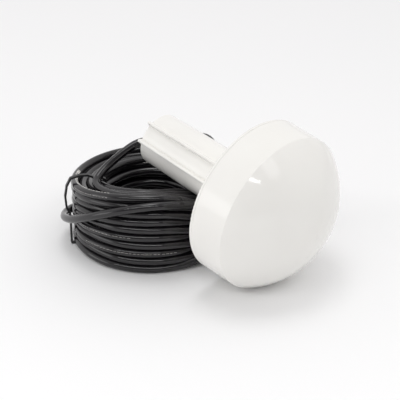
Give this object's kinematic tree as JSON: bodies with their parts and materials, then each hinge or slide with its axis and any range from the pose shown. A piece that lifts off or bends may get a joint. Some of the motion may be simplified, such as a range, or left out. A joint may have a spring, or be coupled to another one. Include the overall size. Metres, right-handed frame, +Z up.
{
  "type": "gnss antenna",
  "caption": "Mushroom-shaped GNSS antenna: glossy white head with a domed front on a ribbed threaded stem, lying beside its coiled black coaxial lead with a screw plug.",
  "frame": {"origin": "on the floor, under the middle of the box round the antenna without its cable", "axes": "+Z up; +X the way the dome faces seen from above, with the antenna's axis 7.63 degrees below it; +Y to the left of that"},
  "size_m": [0.1698, 0.1137, 0.0978],
  "materials": {
    "white_plastic": "glossy off-white ABS",
    "seal_rubber": "matt black rubber",
    "steel": "plain zinc-plated steel",
    "board": "green solder mask on glass-fibre board",
    "tin_plate": "tin-plated sheet",
    "pad_foam": "white double-sided adhesive pad",
    "patch_ceramic": "unglazed microwave ceramic, light brown",
    "silver_film": "fired silver film",
    "gold_pin": "gold-plated brass",
    "chip_epoxy": "matt black epoxy",
    "chip_ceramic": "tan ceramic with tinned ends",
    "cable_pvc": "smooth black PVC with a satin shine",
    "tinned_braid": "tinned copper braid",
    "tie_nylon": "black nylon",
    "nickel": "nickel-plated brass",
    "ptfe": "white PTFE",
    "gasket_silicone": "red silicone"
  },
  "bodies": {
    "antenna": {"radome": "white_plastic", "base_housing": "white_plastic", "rim_seal": "seal_rubber", "housing_screws": "steel", "antenna_board": "board", "ground_plate": "tin_plate", "adhesive_pad": "pad_foam", "patch_ceramic": "patch_ceramic", "patch_electrode": "silver_film", "feed_pin": "gold_pin", "shield_frame": "tin_plate", "shield_lid": "tin_plate", "saw_filters": "gold_pin", "amplifier_chips": "chip_epoxy", "chip_parts": "chip_ceramic", "board_screws": "steel", "cable_gland": "seal_rubber", "cable_end": "cable_pvc", "inner_coax": "tinned_braid", "cable_clip": "tin_plate", "cable_lead": "cable_pvc", "cable_coil": "cable_pvc", "cable_loose_turn": "cable_pvc", "cable_raised_turn": "cable_pvc", "cable_tail": "cable_pvc", "cable_tie": "tie_nylon", "plug_boot": "seal_rubber", "plug_ferrule": "nickel", "plug_body": "nickel", "plug_insulator": "ptfe", "plug_pin": "gold_pin", "plug_gasket": "gasket_silicone", "plug_retaining_ring": "steel"},
    "coupling_nut": {"plug_coupling_nut": "nickel"}
  },
  "joints": [
    {"name": "coupling_nut_turn", "type": "hinge", "parent": "antenna", "child": "coupling_nut", "pos_m": [-0.00588, 0.02967, 0.0073], "axis": [0.0698, 0.9976, 0], "continuous": true}
  ]
}
